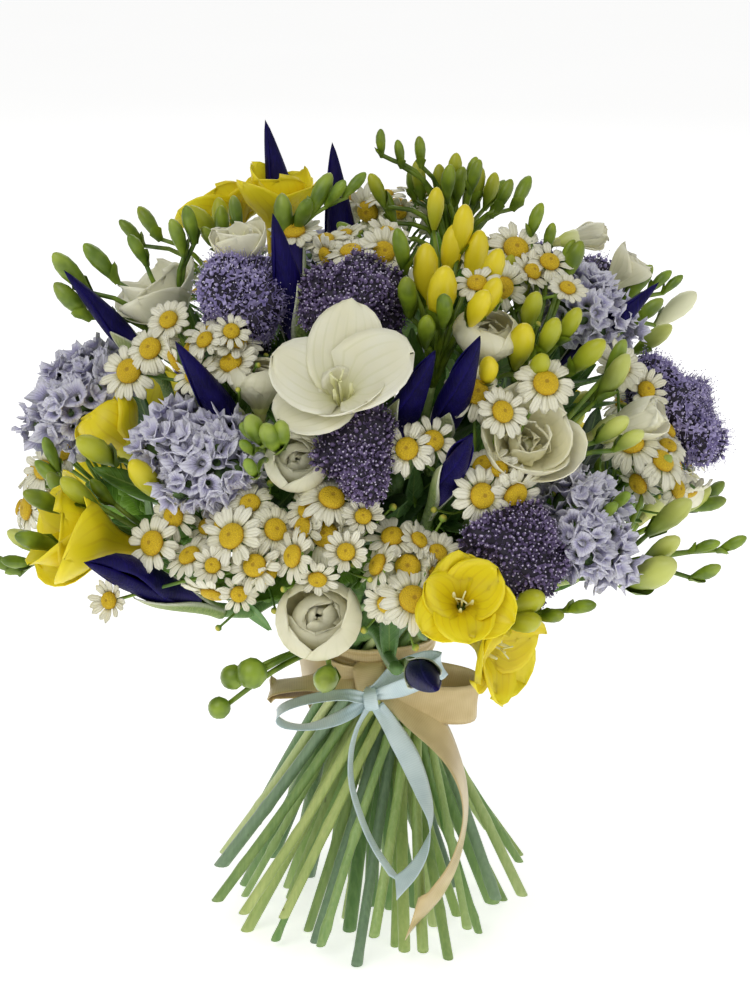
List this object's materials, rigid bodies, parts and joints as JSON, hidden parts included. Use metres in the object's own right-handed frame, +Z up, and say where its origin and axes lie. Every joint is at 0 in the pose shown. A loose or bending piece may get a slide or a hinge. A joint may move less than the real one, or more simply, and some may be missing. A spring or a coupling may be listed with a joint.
{
  "type": "tansy bouquet",
  "caption": "Round hand-tied spiral bouquet of irises, freesias, feverfew, throatwort and statice, tied with twine and satin ribbons, standing on its splayed cut stems",
  "frame": {"origin": "on the ground under the middle of the whole bouquet's box", "axes": "+Z up the bundle towards the crown of the flower dome, -Y towards the front, where both bows are tied, +X to the right as seen from the front"},
  "size_m": [0.328, 0.3434, 0.3626],
  "materials": {
    "iris_petal": "satin",
    "white_petal": "satin",
    "yellow_petal": "satin",
    "feverfew_ray": "matte",
    "feverfew_disc": "matte",
    "throatwort_floret": "matte",
    "statice_calyx": "matte",
    "green_stem": "satin",
    "green_bud": "satin",
    "green_leaf": "satin",
    "beige_satin": "satin",
    "blue_satin": "satin",
    "jute_twine": "matte"
  },
  "bodies": {
    "root": {"iris_stem_01": "iris_petal", "iris_stem_02": "iris_petal", "iris_stem_03": "iris_petal", "iris_stem_04": "iris_petal", "iris_stem_05": "iris_petal", "iris_stem_06": "iris_petal", "iris_stem_07": "iris_petal", "iris_stem_08": "iris_petal", "iris_stem_09": "iris_petal", "iris_stem_10": "iris_petal", "iris_stem_11": "iris_petal", "white_freesia_stem_01": "white_petal", "white_freesia_stem_02": "white_petal", "white_freesia_stem_03": "white_petal", "white_freesia_stem_04": "white_petal", "white_freesia_stem_05": "white_petal", "white_freesia_stem_06": "white_petal", "white_freesia_stem_07": "white_petal", "white_freesia_stem_08": "white_petal", "yellow_freesia_stem_01": "yellow_petal", "yellow_freesia_stem_02": "yellow_petal", "yellow_freesia_stem_03": "yellow_petal", "yellow_freesia_stem_04": "yellow_petal", "yellow_freesia_stem_05": "yellow_petal", "yellow_freesia_stem_06": "yellow_petal", "yellow_freesia_stem_07": "yellow_petal", "feverfew_stem_01": "feverfew_ray", "feverfew_stem_02": "feverfew_ray", "feverfew_stem_03": "feverfew_ray", "feverfew_stem_04": "feverfew_ray", "feverfew_stem_05": "feverfew_ray", "feverfew_stem_06": "feverfew_ray", "feverfew_stem_07": "feverfew_ray", "feverfew_stem_08": "feverfew_ray", "throatwort_stem_01": "throatwort_floret", "throatwort_stem_02": "throatwort_floret", "throatwort_stem_03": "throatwort_floret", "throatwort_stem_04": "throatwort_floret", "throatwort_stem_05": "throatwort_floret", "statice_stem_01": "statice_calyx", "statice_stem_02": "statice_calyx", "statice_stem_03": "statice_calyx", "statice_stem_04": "statice_calyx", "feverfew_stem_09": "feverfew_ray", "throatwort_stem_06": "throatwort_floret", "white_freesia_stem_09": "white_petal", "statice_stem_05": "statice_calyx", "feverfew_stem_10": "feverfew_ray", "white_freesia_stem_10": "white_petal", "feverfew_stem_11": "feverfew_ray", "yellow_freesia_stem_08": "yellow_petal", "statice_stem_06": "statice_calyx", "feverfew_stem_12": "feverfew_ray", "throatwort_stem_07": "throatwort_floret", "yellow_freesia_stem_09": "yellow_petal", "feverfew_stem_13": "feverfew_ray", "white_freesia_stem_11": "white_petal", "binding_twine": "jute_twine", "beige_ribbon": "beige_satin", "blue_ribbon": "blue_satin"}
  },
  "joints": []
}
